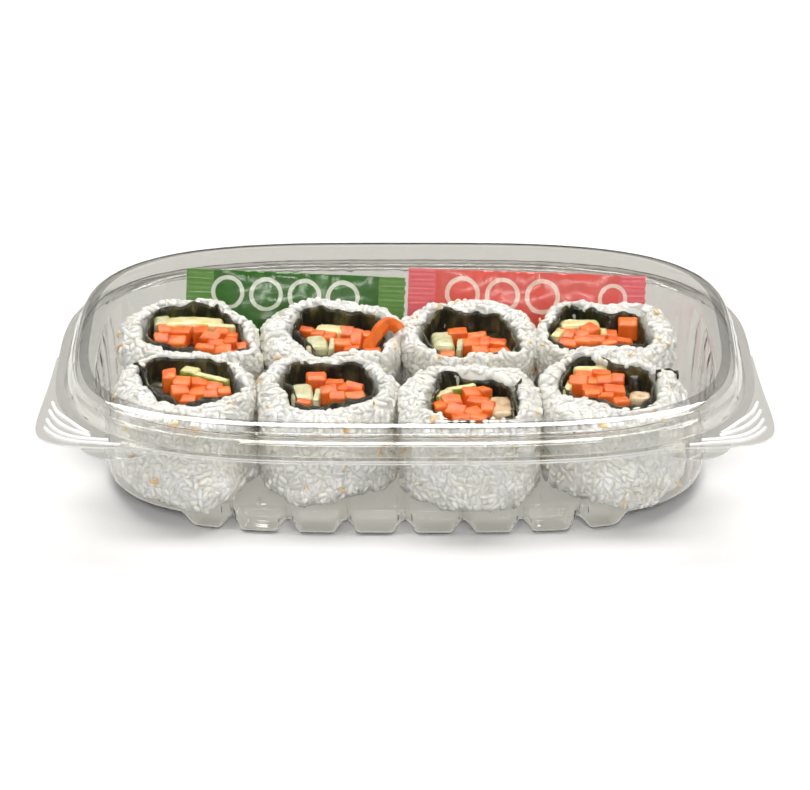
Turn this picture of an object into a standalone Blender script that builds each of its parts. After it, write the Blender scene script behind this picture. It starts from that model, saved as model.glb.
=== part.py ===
"""A clear hinged takeaway box with eight inside-out sushi rolls and two sauce sachets.

The box stands on z = 0 with its long side along X. Its front faces -Y and its lid is hinged at the back.
Every size is in millimetres; MM turns it into metres as each mesh is made.
"""
import math

import bmesh
import bpy
from mathutils import Vector

MM = 0.001
GAP = 0.3                      # clearance between pieces that touch

# The box in plan: superellipses given by half length, half width and power.
WALL_PLAN = (91.5, 61.0, 3.4)
FLANGE_PLAN = (104.5, 72.0, 3.2)
FLANGE_REACH = 12.0            # nominal distance from the wall to the flange's edge
SHEET = 0.45                   # thickness of the formed plastic

# Heights of the box.
FLOOR_UNDER = 3.55
RIM_UNDER = 33.4
FLANGE_UNDER = 29.2
LID_FLANGE_UNDER = FLANGE_UNDER + SHEET + GAP
LID_TOP_UNDER = 40.0

# Ribs pressed into the tray's walls, and the feet between the front and back ones.
NOTCH_PITCH = 17.2
NOTCHES_EACH_SIDE = 3
NOTCH_DEPTH = 4.6
NOTCH_RISE = 2.6
FLUTE_PITCH = 12.5
FLUTES_EACH_SIDE = 3
FLUTE_DEPTH = 1.2
FEET_HALF_SPAN = 66.0
CORNER_POINTS = 5

# Grip tabs at the two front corners. The tray's is a round lobe: its centre and radius. The lid's is the
# corner of a squarer plan that widens towards the front: its half sizes, power and widening.
TRAY_TAB = (82.5, -57.5, 11.6)
LID_TAB = (104.4, 63.0, 12.0, 0.07)
TAB_BLEND = 0.8                # how softly a tab runs into the flange's edge

# The living hinge: a straight fold along the back of both flanges.
HINGE_Y = 72.0
HINGE_HALF_LENGTH = 43.0
HINGE_Z = LID_FLANGE_UNDER - GAP / 2

# The rolls.
ROLL_UNDER = FLOOR_UNDER + SHEET + 0.35
ROLL_TOP = 34.2
ROLL_POWER = 2.1
NORI_TOP = 33.4
NORI_THICK = 0.9
OPENING_POWER = 2.3
ROLL_SIDES = 14
FILLING_SIDES = 10
FILLING_POWER = 3.0

# The sachets: thin pillows that stand behind the rolls.
SACHET_LEAN = 12.6
SACHET_FOOT_Y = 41.5


# ---------------------------------------------------------------- plain helpers

def clear_scene():
    for item in list(bpy.data.objects):
        bpy.data.objects.remove(item, do_unlink=True)


def finish(name, surface, material):
    """Make one object from a bmesh in millimetres."""
    bmesh.ops.scale(surface, vec=(MM, MM, MM), verts=surface.verts)
    bmesh.ops.recalc_face_normals(surface, faces=surface.faces)
    mesh = bpy.data.meshes.new(name)
    surface.to_mesh(mesh)
    surface.free()
    mesh.materials.append(material)
    part = bpy.data.objects.new(name, mesh)
    bpy.context.scene.collection.objects.link(part)
    return part


def material(name, colour, roughness, alpha=1.0):
    made = bpy.data.materials.new(name)
    made.use_nodes = True
    shader = made.node_tree.nodes["Principled BSDF"]
    shader.inputs["Base Color"].default_value = (*colour, 1.0)
    shader.inputs["Roughness"].default_value = roughness
    shader.inputs["Metallic"].default_value = 0.0
    shader.inputs["Alpha"].default_value = alpha
    return made


def join_rings(surface, rings, closed=False):
    """Skin a list of rings of equal length with quads; closed joins the last ring to the first."""
    pairs = list(zip(rings, rings[1:]))
    if closed:
        pairs.append((rings[-1], rings[0]))
    for low, high in pairs:
        count = len(low)
        for i in range(count):
            j = (i + 1) % count
            surface.faces.new((low[i], low[j], high[j], high[i]))


def oval_point(angle, half_x, half_y, power):
    """A point of a superellipse, at a polar parameter in radians."""
    c, s = math.cos(angle), math.sin(angle)
    return Vector((math.copysign(abs(c) ** (2 / power), c) * half_x,
                   math.copysign(abs(s) ** (2 / power), s) * half_y))


# ---------------------------------------------------------------- the box

def edge_of(plan, value, along_x):
    """The other coordinate of a superellipse's edge, where one coordinate is known."""
    half_x, half_y, power = plan
    known, other = (half_x, half_y) if along_x else (half_y, half_x)
    return other * (1 - min(1.0, abs(value / known)) ** power) ** (1 / power)


def quarter_outline():
    """One quarter of the wall's plan, from the end's middle to the side's middle.

    Its points fall on the crests and hollows of the ribs, with CORNER_POINTS more round the corner.
    """
    end_step = FLUTE_PITCH / 2
    side_step = NOTCH_PITCH / 4
    ends = [end_step * k for k in range(2 * FLUTES_EACH_SIDE + 2)]
    sides = [side_step * k for k in range(4 * NOTCHES_EACH_SIDE + 4, -1, -1)]
    points = [Vector((edge_of(WALL_PLAN, y, False), y)) for y in ends]
    last = points[-1]
    first = Vector((sides[0], edge_of(WALL_PLAN, sides[0], True)))
    start, stop = math.atan2(last.y, last.x), math.atan2(first.y, first.x)
    for k in range(1, CORNER_POINTS + 1):
        angle = start + (stop - start) * k / (CORNER_POINTS + 1)
        ray = Vector((math.cos(angle), math.sin(angle)))
        points.append(ray / level(WALL_PLAN, ray.x, ray.y) ** (1 / WALL_PLAN[2]))
    points += [Vector((x, edge_of(WALL_PLAN, x, True))) for x in sides]
    return points


def level(plan, x, y):
    """Below 1 inside a superellipse, 1 on it, above 1 outside."""
    half_x, half_y, power = plan
    return abs(x / half_x) ** power + abs(y / half_y) ** power


def outline():
    """The wall's plan as a full ring of points, counter-clockwise from the right end's middle."""
    quarter = quarter_outline()
    ring = list(quarter)
    ring += [Vector((-p.x, p.y)) for p in reversed(quarter[:-1])]
    ring += [Vector((-p.x, -p.y)) for p in quarter[1:]]
    ring += [Vector((p.x, -p.y)) for p in reversed(quarter[1:-1])]
    return ring


def outward(point):
    """The unit normal of the wall's plan at one of its points."""
    half_x, half_y, power = WALL_PLAN
    gradient = Vector((math.copysign(abs(point.x / half_x) ** (power - 1) / half_x, point.x),
                       math.copysign(abs(point.y / half_y) ** (power - 1) / half_y, point.y)))
    return gradient.normalized()


def reach_inside(point, normal, inside):
    """Distance from the wall, along its normal, to the edge of the region where inside() holds."""
    low, high = 0.0, 3 * FLANGE_REACH
    for _ in range(40):
        reach = (low + high) / 2
        if inside(point.x + normal.x * reach, point.y + normal.y * reach):
            low = reach
        else:
            high = reach
    return low


def flange_reach(point, normal):
    return reach_inside(point, normal, lambda x, y: level(FLANGE_PLAN, x, y) < 1)


def tray_tab_reach(point, normal):
    centre_x, centre_y, radius = TRAY_TAB
    away = Vector((math.copysign(centre_x, point.x), centre_y)) - point
    along = away.dot(normal)
    aside = (away - normal * along).length
    if aside >= radius:
        return 0.0
    return along + math.sqrt(radius ** 2 - aside ** 2)


def lid_tab_reach(point, normal):
    half_x, half_y, power, widening = LID_TAB
    return reach_inside(point, normal, lambda x, y: level((half_x - widening * y, half_y, power), x, y) < 1)


def flange_tip(point, normal, tab_reach):
    """How far out the flange ends: on the hinge line, round a tab, or on its plain edge."""
    plain = flange_reach(point, normal)
    if point.y > 0 and abs(point.x) <= HINGE_HALF_LENGTH + 0.5:
        return (HINGE_Y - point.y) / normal.y
    if point.y > 0:
        return plain
    return plain + TAB_BLEND * math.log(1 + math.exp((tab_reach(point, normal) - plain) / TAB_BLEND))


def thicken(section, thickness):
    """Offset an open section of (distance, height) points to its left by the sheet's thickness."""
    moved = []
    for i, (q, z) in enumerate(section):
        before = Vector(section[max(i - 1, 0)])
        here = Vector((q, z))
        after = Vector(section[min(i + 1, len(section) - 1)])
        steps = [(b - a).normalized() for a, b in ((before, here), (here, after)) if (b - a).length > 0]
        lefts = [Vector((-step.y, step.x)) for step in steps]
        middle = sum(lefts, Vector((0, 0))).normalized()
        reach = thickness / max(0.5, middle.dot(lefts[0]))
        moved.append((q + middle.x * reach, z + middle.y * reach))
    return moved


def shell(name, section_at, made_of):
    """A formed sheet: a section carried round the plan, thickened, and closed at floor and edge."""
    surface = bmesh.new()
    under, over = [], []
    for point in outline():
        normal = outward(point)
        section, tip = section_at(point, normal)
        scale = flange_reach(point, normal) / FLANGE_REACH
        for skin, profile in ((under, section), (over, thicken(section, SHEET))):
            column = []
            for k, (q, z) in enumerate(profile):
                if k == len(profile) - 1:
                    distance = tip
                else:
                    distance = q * scale if q > 0 else q
                place = point + normal * distance
                column.append(surface.verts.new((place.x, place.y, z)))
            skin.append(column)
    rings_under = list(zip(*under))
    rings_over = list(zip(*over))
    join_rings(surface, rings_under + rings_over[::-1])
    surface.faces.new(rings_under[0][::-1])
    surface.faces.new(rings_over[0])
    return finish(name, surface, made_of)


def near_multiple(value, pitch, count):
    """True where a coordinate falls on one of the ribs' centre lines."""
    k = round(value / pitch)
    return abs(k) <= count and abs(value - k * pitch) < 0.01


def tray_section(point, normal):
    """Floor, feet, wall with its pressed ribs, rim ledge and flange, from the floor outwards."""
    side = abs(normal.y) > abs(normal.x)
    foot = side and abs(point.x) < FEET_HALF_SPAN
    notch = foot and near_multiple(point.x, NOTCH_PITCH, NOTCHES_EACH_SIDE)
    flute = not side and near_multiple(point.y, FLUTE_PITCH, FLUTES_EACH_SIDE)
    bottom = 0.0 if foot else FLOOR_UNDER
    inset = 0.0
    if notch:
        bottom = NOTCH_RISE
        inset = NOTCH_DEPTH
    if flute:
        inset = FLUTE_DEPTH
    corner_q = -2.4 if foot else -3.4
    wall_q = -0.6
    wall_rise = 2.6 if foot else 3.2
    upper_inset = min(inset, 0.8)
    section = [(-12.5, FLOOR_UNDER),
               (-10.0, bottom),
               (corner_q - inset, bottom),
               (wall_q - inset, bottom + wall_rise),
               (0.7 - upper_inset, FLANGE_UNDER - 0.8),
               (1.5, RIM_UNDER),
               (6.6, RIM_UNDER),
               (7.4, FLANGE_UNDER),
               (FLANGE_REACH, FLANGE_UNDER)]
    return section, flange_tip(point, normal, tray_tab_reach)


def lid_section(point, normal):
    """Top panel, rounded shoulder, sloped wall, snap bead and flange, from the panel outwards."""
    section = [(-2.0, LID_TOP_UNDER),
               (2.8, LID_TOP_UNDER + 0.2),
               (4.3, LID_TOP_UNDER - 0.4),
               (5.0, LID_TOP_UNDER - 1.8),
               (8.2, 34.2),
               (9.2, LID_FLANGE_UNDER),
               (FLANGE_REACH, LID_FLANGE_UNDER)]
    return section, flange_tip(point, normal, lid_tab_reach)


# ---------------------------------------------------------------- the rolls

def uneven(angle, seed):
    """The lumpy edge of packed rice: up to 3% inside the plain oval."""
    wave = math.sin(3 * angle + seed) + 0.7 * math.sin(5 * angle + 2.1 * seed)
    return 1 - 0.03 * (wave + 1.7) / 3.4


def roll_rings(centre, opening):
    """The rice's outer outline and its opening's outline, point for point."""
    x, y, half_x, half_y, seed = centre
    hole_x, hole_y, hole_half_x, hole_half_y = opening
    outer, inner = [], []
    for k in range(ROLL_SIDES):
        angle = 2 * math.pi * (k + 0.5) / ROLL_SIDES
        edge = oval_point(angle, half_x, half_y, ROLL_POWER) * uneven(angle, seed)
        outer.append(Vector((x, y)) + edge)
        inner.append(Vector((hole_x, hole_y)) + oval_point(angle, hole_half_x, hole_half_y, OPENING_POWER))
    return outer, inner


def ring_body(name, outer, inner, section, made_of):
    """A closed ring whose section is given as (share of the way out, height)."""
    surface = bmesh.new()
    rings = []
    for share, z in section:
        ring = []
        for near, far in zip(inner, outer):
            place = near + (far - near) * share
            ring.append(surface.verts.new((place.x, place.y, z)))
        rings.append(ring)
    join_rings(surface, rings, closed=True)
    return finish(name, surface, made_of)


def make_rice(name, outer, inner, made_of):
    section = [(0.0, ROLL_UNDER),
               (0.86, ROLL_UNDER),
               (1.0, ROLL_UNDER + 4.5),
               (1.0, ROLL_TOP - 5.0),
               (0.82, ROLL_TOP - 1.2),
               (0.4, ROLL_TOP),
               (0.0, ROLL_TOP - 0.7)]
    return ring_body(name, outer, inner, section, made_of)


def make_nori(name, opening, made_of):
    hole_x, hole_y, half_x, half_y = opening
    sheets = []
    for inset in (GAP, GAP + NORI_THICK):
        sheets.append([Vector((hole_x, hole_y)) + oval_point(
            2 * math.pi * (k + 0.5) / ROLL_SIDES, half_x - inset, half_y - inset, OPENING_POWER)
            for k in range(ROLL_SIDES)])
    section = [(0.0, ROLL_UNDER), (1.0, ROLL_UNDER), (1.0, NORI_TOP), (0.0, NORI_TOP)]
    return ring_body(name, sheets[0], sheets[1], section, made_of)


def make_filling(name, opening, place, top, ripple, made_of):
    """A strip or bundle that stands in the opening; ripple is how uneven its cut top is."""
    cx, cy, half_x, half_y, turn = place
    surface = bmesh.new()
    angle_turn = math.radians(turn)
    low, high = [], []
    for k in range(FILLING_SIDES):
        p = oval_point(2 * math.pi * k / FILLING_SIDES, half_x, half_y, FILLING_POWER)
        x = opening[0] + cx + p.x * math.cos(angle_turn) - p.y * math.sin(angle_turn)
        y = opening[1] + cy + p.x * math.sin(angle_turn) + p.y * math.cos(angle_turn)
        low.append(surface.verts.new((x, y, ROLL_UNDER)))
        high.append(surface.verts.new((x, y, top + ripple * math.sin(2.4 * k + cx))))
    join_rings(surface, [low, high])
    surface.faces.new(low[::-1])
    crown = surface.verts.new((opening[0] + cx, opening[1] + cy, top + ripple))
    for k in range(FILLING_SIDES):
        surface.faces.new((high[k], high[(k + 1) % FILLING_SIDES], crown))
    return finish(name, surface, made_of)


# One entry for each roll: rice (centre, half sizes, seed), opening (centre, half sizes) and fillings.
# A filling is its kind, then centre, half sizes and turn in the opening, and its top's height.
ROLLS = {
    "back_1": ((-64.6, 14.6, 21.0, 20.4, 0.3), (-63.0, 14.9, 15.6, 14.9), [
        ("avocado", (0.6, 7.6, 10.0, 3.2, -3), 32.6),
        ("carrot", (0.6, -3.6, 11.8, 6.0, -4), 32.4),
        ("cucumber", (-11.1, 5.0, 1.5, 2.0, 0), 32.0)]),
    "back_2": ((-22.2, 15.0, 20.2, 20.6, 1.4), (-20.8, 13.6, 13.6, 15.0), [
        ("avocado", (-2.4, 6.2, 5.4, 2.3, -6), 32.0),
        ("carrot", (4.6, -3.6, 5.9, 6.4, 0), 32.4),
        ("cucumber", (-5.4, -4.8, 3.3, 5.2, 0), 31.8)]),
    "back_3": ((19.4, 15.0, 20.2, 20.6, 2.2), (20.2, 12.8, 13.8, 14.8), [
        ("cucumber", (-8.2, -2.6, 2.9, 5.8, 0), 31.6),
        ("carrot", (2.8, -4.0, 7.5, 6.0, 3), 32.2)]),
    "back_4": ((61.0, 14.8, 20.2, 20.0, 3.1), (59.0, 15.4, 14.8, 13.8), [
        ("avocado", (-6.2, 5.6, 5.4, 2.6, 6), 32.4),
        ("carrot", (-4.6, -3.0, 7.2, 4.9, 4), 32.2),
        ("carrot_end", (8.2, -0.4, 3.4, 5.8, 0), 32.8)]),
    "front_1": ((-65.0, -26.8, 20.2, 20.0, 4.0), (-64.6, -24.6, 14.9, 14.0), [
        ("avocado", (5.4, 5.9, 7.2, 1.7, -28), 32.6),
        ("carrot", (4.2, -4.0, 7.6, 5.0, -12), 32.6),
        ("carrot_end", (-6.6, 1.6, 2.1, 4.4, 0), 31.4)]),
    "front_2": ((-23.0, -27.4, 20.2, 20.2, 5.2), (-22.6, -26.2, 13.8, 14.2), [
        ("cucumber", (-7.6, -1.8, 3.2, 5.8, 0), 31.8),
        ("carrot", (3.2, -1.4, 7.3, 6.2, 3), 32.4)]),
    "front_3": ((19.2, -31.8, 20.2, 20.0, 0.9), (19.8, -33.0, 13.4, 14.2), [
        ("avocado", (-4.2, 6.4, 6.2, 1.6, 16), 32.4),
        ("carrot", (-2.0, -3.6, 7.8, 6.2, 0), 32.8),
        ("radish", (8.6, -3.4, 1.9, 4.2, 0), 32.0)]),
    "front_4": ((61.6, -27.0, 20.8, 20.4, 1.9), (61.0, -23.8, 15.0, 14.6), [
        ("avocado", (-5.6, 8.0, 5.4, 2.2, 4), 32.2),
        ("carrot", (-3.6, -1.6, 8.0, 6.0, -4), 32.8),
        ("nori_fold", (7.6, 4.8, 2.9, 3.2, -15), 32.6),
        ("radish", (9.2, -4.0, 2.5, 4.2, 0), 32.2)]),
}


# ---------------------------------------------------------------- the sachets

def make_sachet(name, left, width, height, tilt, made_of):
    """A flat pillow with sealed ends, standing on its long edge and leaning back."""
    columns, rows = 9, 6
    seal, belly, edge = 9.0, 2.6, 0.25
    lean, roll = math.radians(SACHET_LEAN), math.radians(tilt)
    surface = bmesh.new()
    skins = []
    for face in (-1, 1):
        grid = []
        for i in range(columns):
            along = width * i / (columns - 1)
            swell_x = max(0.0, min(along, width - along) - seal) / (width / 2 - seal)
            line = []
            for j in range(rows):
                up = height * j / (rows - 1)
                swell = math.sin(math.pi * j / (rows - 1)) * math.sin(math.pi / 2 * min(1.0, 2 * swell_x))
                thick = edge + belly * swell
                x = left + along * math.cos(roll) + up * math.sin(roll)
                rise = up * math.cos(roll) + (width - along) * math.sin(roll)
                y = SACHET_FOOT_Y + rise * math.sin(lean) + face * thick * math.cos(lean)
                z = ROLL_UNDER + 0.4 + rise * math.cos(lean) - face * thick * math.sin(lean)
                line.append(surface.verts.new((x, y, z)))
            grid.append(line)
        skins.append(grid)
    for grid in skins:
        for i in range(columns - 1):
            for j in range(rows - 1):
                surface.faces.new((grid[i][j], grid[i + 1][j], grid[i + 1][j + 1], grid[i][j + 1]))
    front, back = ([g[i][0] for i in range(columns)] + [g[-1][j] for j in range(1, rows)]
                   + [g[i][-1] for i in range(columns - 2, -1, -1)]
                   + [g[0][j] for j in range(rows - 2, 0, -1)] for g in skins)
    join_rings(surface, [front, back])
    return finish(name, surface, made_of)


# ---------------------------------------------------------------- put together

clear_scene()

clear_tray = material("clear_tray", (0.86, 0.87, 0.85), 0.08, 0.35)
clear_lid = material("clear_lid", (0.88, 0.89, 0.88), 0.06, 0.3)
FOOD = {
    "rice": material("rice", (0.86, 0.83, 0.76), 0.45),
    "nori": material("nori", (0.02, 0.025, 0.015), 0.4),
    "nori_fold": material("nori_fold", (0.02, 0.025, 0.015), 0.4),
    "carrot": material("carrot", (0.88, 0.2, 0.03), 0.35),
    "carrot_end": material("carrot_end", (0.85, 0.18, 0.03), 0.35),
    "avocado": material("avocado", (0.62, 0.62, 0.22), 0.4),
    "cucumber": material("cucumber", (0.6, 0.55, 0.3), 0.3),
    "radish": material("radish", (0.62, 0.42, 0.24), 0.3),
}
FILLING_RIPPLE = {"carrot": 0.5, "carrot_end": 0.4}

shell("tray", tray_section, clear_tray)
lid = shell("lid", lid_section, clear_lid)
hinge = bpy.data.objects.new("lid_hinge_axis", None)
bpy.context.scene.collection.objects.link(hinge)
hinge.location = (0.0, HINGE_Y * MM, HINGE_Z * MM)
lid.parent = hinge
lid.matrix_parent_inverse = hinge.matrix_basis.inverted()

for place, (rice, opening, fillings) in ROLLS.items():
    outer, inner = roll_rings(rice, opening)
    make_rice("rice_" + place, outer, inner, FOOD["rice"])
    make_nori("nori_" + place, opening, FOOD["nori"])
    for kind, spot, top in fillings:
        make_filling(kind + "_" + place, opening, spot, top, FILLING_RIPPLE.get(kind, 0.15), FOOD[kind])

make_sachet("sachet_green", -69.5, 68.6, 31.3, 2.6, material("sachet_green", (0.05, 0.2, 0.04), 0.35))
make_sachet("sachet_pink", 0.1, 74.4, 31.8, 2.0, material("sachet_pink", (0.8, 0.2, 0.17), 0.35))
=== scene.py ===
import math
import random

import bmesh
import bpy
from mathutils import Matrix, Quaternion, Vector, noise


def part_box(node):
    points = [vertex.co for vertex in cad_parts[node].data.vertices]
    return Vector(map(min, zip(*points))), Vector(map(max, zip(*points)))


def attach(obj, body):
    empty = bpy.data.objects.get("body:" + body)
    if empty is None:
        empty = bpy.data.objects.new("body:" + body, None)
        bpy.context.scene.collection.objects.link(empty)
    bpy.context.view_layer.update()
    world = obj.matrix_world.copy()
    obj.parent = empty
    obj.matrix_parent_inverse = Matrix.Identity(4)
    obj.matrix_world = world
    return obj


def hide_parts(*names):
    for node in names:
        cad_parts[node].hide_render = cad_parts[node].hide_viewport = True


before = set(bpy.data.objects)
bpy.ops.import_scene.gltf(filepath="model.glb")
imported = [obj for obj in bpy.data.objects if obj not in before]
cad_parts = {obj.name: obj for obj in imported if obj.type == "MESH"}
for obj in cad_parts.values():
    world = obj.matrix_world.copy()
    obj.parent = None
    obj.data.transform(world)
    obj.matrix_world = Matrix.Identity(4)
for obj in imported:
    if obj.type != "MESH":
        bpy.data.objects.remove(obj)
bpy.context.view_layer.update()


# ---------------------------------------------------------------- the tray
# The lower half of the box is one sheet of clear plastic, drawn hot over a mould: a bowl with ribbed walls,
# feet along the front and back, a raised rim and a flange. Its sheet is pulled ring by ring and then thickened.

MM = 0.001
SHEET = 0.45 * MM
WALL_PLAN = (91.5 * MM, 61.0 * MM, 3.4)
FLANGE_PLAN = (104.5 * MM, 72.0 * MM, 3.2)
FLANGE_REACH = 12.0 * MM
AROUND = 560
FLANGE_UNDER = 29.2 * MM
NOTCH_PITCH = 17.2 * MM
FLUTE_PITCH = 12.5 * MM
FEET_END = 64.5 * MM
TRAY_TAB = (82.5 * MM, -57.5 * MM, 11.6 * MM)
TAB_BLEND = 0.8 * MM
HINGE_Y = 71.96 * MM
HINGE_HALF_LENGTH = 43.0 * MM


def deselect():
    bpy.ops.object.select_all(action="DESELECT")


def work_on(piece):
    """Select one piece alone and make it the active one."""
    deselect()
    piece.select_set(True)
    bpy.context.view_layer.objects.active = piece


def smooth(x):
    """0 below 0, 1 above 1, and an even ease between."""
    x = min(1.0, max(0.0, x))
    return x * x * (3 - 2 * x)


def level(plan, x, y):
    """Below 1 inside a superellipse, above 1 outside."""
    half_x, half_y, power = plan
    return abs(x / half_x) ** power + abs(y / half_y) ** power


def wall_outline(count):
    """Evenly spaced points of the wall's plan, each with its outward normal."""
    half_x, half_y, power = WALL_PLAN
    fine = []
    for k in range(8 * count):
        angle = 2 * math.pi * k / (8 * count)
        ray = Vector((math.cos(angle), math.sin(angle)))
        fine.append(ray / level(WALL_PLAN, ray.x, ray.y) ** (1 / power))
    lengths = [0.0]
    for a, b in zip(fine, fine[1:] + fine[:1]):
        lengths.append(lengths[-1] + (b - a).length)
    points, k = [], 0
    for step in range(count):
        wanted = lengths[-1] * step / count
        while lengths[k + 1] <= wanted:
            k += 1
        share = (wanted - lengths[k]) / (lengths[k + 1] - lengths[k])
        point = fine[k].lerp(fine[(k + 1) % len(fine)], share)
        gradient = Vector((math.copysign(abs(point.x / half_x) ** (power - 1) / half_x, point.x),
                           math.copysign(abs(point.y / half_y) ** (power - 1) / half_y, point.y)))
        points.append((point, gradient.normalized()))
    return points


def reach_inside(point, normal, inside):
    """Distance from the wall along its normal to where inside() stops holding."""
    low, high = 0.0, 3 * FLANGE_REACH
    for _ in range(24):
        reach = (low + high) / 2
        if inside(point.x + normal.x * reach, point.y + normal.y * reach):
            low = reach
        else:
            high = reach
    return low


def flange_reach(point, normal):
    return reach_inside(point, normal, lambda x, y: level(FLANGE_PLAN, x, y) < 1)


def tray_tab_reach(point, normal):
    centre_x, centre_y, radius = TRAY_TAB
    away = Vector((math.copysign(centre_x, point.x), centre_y)) - point
    along = away.dot(normal)
    aside = (away - normal * along).length
    if aside >= radius:
        return 0.0
    return along + math.sqrt(radius ** 2 - aside ** 2)


def flange_tip(point, normal, tab_reach):
    """How far out the flange ends: on the hinge line, round a tab, or on its plain edge."""
    plain = flange_reach(point, normal)
    if point.y > 0:
        straight = (HINGE_Y - point.y) / max(normal.y, 0.2)
        return plain + (straight - plain) * smooth((HINGE_HALF_LENGTH + 3 * MM - abs(point.x)) / (3 * MM))
    lobe = min(20.0, max(-20.0, (tab_reach(point, normal) - plain) / TAB_BLEND))
    return plain + TAB_BLEND * math.log(1 + math.exp(lobe))


def rounded(section, steps=4):
    """Round each corner (distance, height, radius) of a section with a short arc."""
    points = [Vector(section[0][:2])]
    for (before, here, after) in zip(section, section[1:], section[2:]):
        corner = Vector(here[:2])
        back = Vector(before[:2]) - corner
        on = Vector(after[:2]) - corner
        cut = min(here[2], back.length * 0.48, on.length * 0.48)
        start, stop = corner + back.normalized() * cut, corner + on.normalized() * cut
        for k in range(steps + 1):
            t = k / steps
            points.append(start * (1 - t) ** 2 + corner * 2 * t * (1 - t) + stop * t ** 2)
    points.append(Vector(section[-1][:2]))
    return points


def pull_sheet(name, rings, up):
    """A closed edge, extruded ring after ring to its places, with its first ring filled across."""
    deselect()
    bpy.ops.mesh.primitive_circle_add(vertices=len(rings[0]), radius=WALL_PLAN[1], fill_type="NOTHING")
    sheet = bpy.context.object
    sheet.name = name
    bpy.ops.object.mode_set(mode="EDIT")
    bpy.ops.mesh.select_mode(type="VERT")
    bpy.ops.mesh.select_all(action="SELECT")
    mesh = bmesh.from_edit_mesh(sheet.data)
    mesh.verts.layers.int.new("order")
    mesh.verts.layers.int.new("pull")
    order = mesh.verts.layers.int["order"]
    for k, vert in enumerate(mesh.verts):
        vert[order] = k
    for number, ring in enumerate(rings):
        if number:
            bpy.ops.mesh.extrude_region_move()
        mesh = bmesh.from_edit_mesh(sheet.data)
        order, pull = mesh.verts.layers.int["order"], mesh.verts.layers.int["pull"]
        for vert in mesh.verts:
            if vert.select:
                vert.co = ring[vert[order]]
                vert[pull] = number
    bmesh.update_edit_mesh(sheet.data)
    bpy.ops.mesh.select_all(action="DESELECT")
    for vert in mesh.verts:
        vert.select_set(vert[pull] == 0)
    mesh.select_flush_mode()
    bpy.ops.mesh.edge_face_add()
    bpy.ops.mesh.select_all(action="SELECT")
    bpy.ops.mesh.normals_make_consistent(inside=False)
    mesh = bmesh.from_edit_mesh(sheet.data)
    across = max(mesh.faces, key=lambda face: len(face.verts))
    if (across.normal.z > 0) != up:
        bpy.ops.mesh.flip_normals()
    bpy.ops.object.mode_set(mode="OBJECT")
    return sheet


def bump(x):
    """1 at the middle, 0 from 1 outwards, rounded."""
    x = min(1.0, abs(x))
    return (1 - x * x) ** 2


def nearest(value, pitch, count):
    k = max(-count, min(count, round(value / pitch)))
    return value - k * pitch


RIM_SECTION = [(1.1, 32.6, 1.0), (2.0, 33.4, 0.8), (6.6, 33.4, 1.2), (7.4, 29.2, 0.9), (9.0, 29.2, 0)]
FOOT_SECTION = rounded([(-15, 4.0, 0), (-12.6, 3.6, 1.2), (-10.2, 0.0, 1.6), (-2.0, 0.0, 2.4), (-0.6, 6.0, 2.0)]
                       + RIM_SECTION)
BOWL_SECTION = rounded([(-15, 4.0, 0), (-12.6, 3.7, 1.2), (-10.2, 3.55, 1.6), (-2.0, 3.55, 5.0), (-0.6, 9.0, 2.0)]
                       + RIM_SECTION)
LONG_STRETCH = 12
WALL_STEPS = 8
FLUTE_TOP = 29.5
FLUTE_ARCH = 4.5
FLUTES_END = 43 * MM


def with_wall_steps(points):
    """Split a section's long wall stretch, so that a rib's depth can change up it."""
    out = []
    for a, b in zip(points, points[1:]):
        out.append(a)
        if (b - a).length > LONG_STRETCH:
            out += [a.lerp(b, k / WALL_STEPS) for k in range(1, WALL_STEPS)]
    return out + [points[-1]]


def pressed(point, side, q, z):
    """The section's point once the ribs are pressed in: notches under the sides, flutes at the ends."""
    x, y = point.x, point.y
    if side > 0:
        off = nearest(x, NOTCH_PITCH, 3) / MM
        half = 1.9 + 1.9 * (1 - smooth(z / 7))
        depth = 1.2 + 3.6 * (1 - smooth(z / 13))
        deep = bump(off / half) * side
        in_wall = smooth((q + 10.0) / 7.6) * (1 - smooth((z - 29.5) / 2.5))
        q -= depth * deep * in_wall
        z += 2.4 * deep * (1 - smooth(z / 3.5))
    else:
        off = nearest(y, FLUTE_PITCH, 3) / MM
        half = 3.9 * math.sqrt(max(0.0, 1 - max(0.0, (z - FLUTE_TOP + FLUTE_ARCH) / FLUTE_ARCH) ** 2))
        if half > 0.2 and abs(y) < FLUTES_END:
            in_wall = smooth((z - 5.0) / 5.0)
            q -= 0.5 * bump(off / half) * in_wall
    return q, z


foot_points, bowl_points = with_wall_steps(FOOT_SECTION), with_wall_steps(BOWL_SECTION)
FLANGE_STEPS = 7
FLANGE_START = 9.0
SIDE_SLOPE = 0.72
columns = []
for point, normal in wall_outline(AROUND):
    foot = smooth((FEET_END + 2.2 * MM - abs(point.x)) / (4.5 * MM)) if abs(normal.y) > SIDE_SLOPE else 0.0
    scale = flange_reach(point, normal) / FLANGE_REACH
    column = []
    for a, b in zip(bowl_points, foot_points):
        q, z = a.lerp(b, foot)
        q, z = pressed(point, foot, q, z)
        distance = (q * scale if q > 0 else q) * MM
        place = point + normal * distance
        column.append(Vector((place.x, place.y, z * MM)))
    tip = flange_tip(point, normal, tray_tab_reach)
    start = FLANGE_START * scale * MM
    for k in range(1, FLANGE_STEPS + 1):
        place = point + normal * (start + (tip - start) * k / FLANGE_STEPS)
        column.append(Vector((place.x, place.y, FLANGE_UNDER)))
    columns.append(column)
tray = pull_sheet("clear_tray", [list(ring) for ring in zip(*columns)], up=False)


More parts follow.
